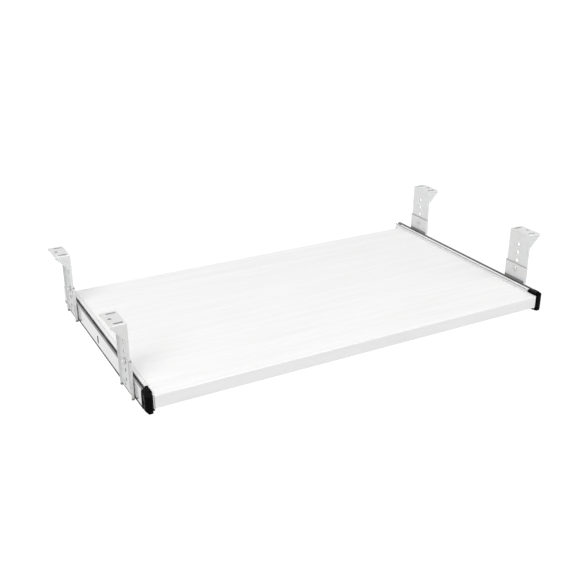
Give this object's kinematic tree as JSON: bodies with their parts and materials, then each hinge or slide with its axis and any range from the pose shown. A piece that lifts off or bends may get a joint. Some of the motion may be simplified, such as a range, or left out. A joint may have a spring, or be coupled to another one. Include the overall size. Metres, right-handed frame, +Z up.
{
  "type": "under desk drawer",
  "caption": "Flat pull-out keyboard tray on ball-bearing slides, hung under a desk by steel brackets whose height can be set.",
  "frame": {"origin": "middle of the four bracket tops, in the plane of the desk's underside", "axes": "+X to the user's right along the tray's long side, +Y back under the desk (the tray pulls out towards -Y), +Z up"},
  "size_m": [0.6696, 0.365, 0.1051],
  "materials": {
    "melamine_board": "white melamine with a faint embossed wood grain, satin",
    "edge_band": "white PVC edge band, satin",
    "zinc_steel": "bright zinc-plated cold-rolled steel",
    "bracket_steel": "pale silver-grey, satin",
    "black_plastic": "moulded black plastic, glossy",
    "fastener_steel": "zinc-plated fasteners",
    "ball_steel": "bearing balls in a plated strip"
  },
  "bodies": {
    "hanging_frame": {"front_left_clamp_bolt": "fastener_steel", "front_left_clamp_nut": "fastener_steel", "front_left_front_rivet": "fastener_steel", "front_left_lower_bracket": "bracket_steel", "front_left_rear_rivet": "fastener_steel", "front_left_upper_bracket": "bracket_steel", "front_right_clamp_bolt": "fastener_steel", "front_right_clamp_nut": "fastener_steel", "front_right_front_rivet": "fastener_steel", "front_right_lower_bracket": "bracket_steel", "front_right_rear_rivet": "fastener_steel", "front_right_upper_bracket": "bracket_steel", "left_outer_rail": "zinc_steel", "left_rear_buffer": "black_plastic", "rear_left_clamp_bolt": "fastener_steel", "rear_left_clamp_nut": "fastener_steel", "rear_left_front_rivet": "fastener_steel", "rear_left_lower_bracket": "bracket_steel", "rear_left_rear_rivet": "fastener_steel", "rear_left_upper_bracket": "bracket_steel", "rear_right_clamp_bolt": "fastener_steel", "rear_right_clamp_nut": "fastener_steel", "rear_right_front_rivet": "fastener_steel", "rear_right_lower_bracket": "bracket_steel", "rear_right_rear_rivet": "fastener_steel", "rear_right_upper_bracket": "bracket_steel", "right_outer_rail": "zinc_steel", "right_rear_buffer": "black_plastic"},
    "tray": {"left_front_cap": "black_plastic", "left_inner_rail": "zinc_steel", "left_tray_angle": "zinc_steel", "left_tray_screw_1": "fastener_steel", "left_tray_screw_2": "fastener_steel", "left_tray_screw_3": "fastener_steel", "right_front_cap": "black_plastic", "right_inner_rail": "zinc_steel", "right_tray_angle": "zinc_steel", "right_tray_screw_1": "fastener_steel", "right_tray_screw_2": "fastener_steel", "right_tray_screw_3": "fastener_steel", "tray_board": "melamine_board", "tray_front_edge_band": "edge_band", "tray_left_edge_band": "edge_band", "tray_rear_edge_band": "edge_band", "tray_right_edge_band": "edge_band"},
    "left_ball_cage": {"left_ball_cage": "ball_steel"},
    "right_ball_cage": {"right_ball_cage": "ball_steel"}
  },
  "joints": [
    {"name": "tray_slide", "type": "slide", "parent": "hanging_frame", "child": "tray", "axis": [0, -1, 0], "range_m": [0, 0.25]},
    {"name": "left_cage_slide", "type": "slide", "parent": "hanging_frame", "child": "left_ball_cage", "axis": [0, -1, 0], "range_m": [0, 0.125]},
    {"name": "right_cage_slide", "type": "slide", "parent": "hanging_frame", "child": "right_ball_cage", "axis": [0, -1, 0], "range_m": [0, 0.125]}
  ],
  "couplings": [
    {"joint": "left_cage_slide", "follows": "tray_slide", "ratio": 0.5},
    {"joint": "right_cage_slide", "follows": "tray_slide", "ratio": 0.5}
  ]
}
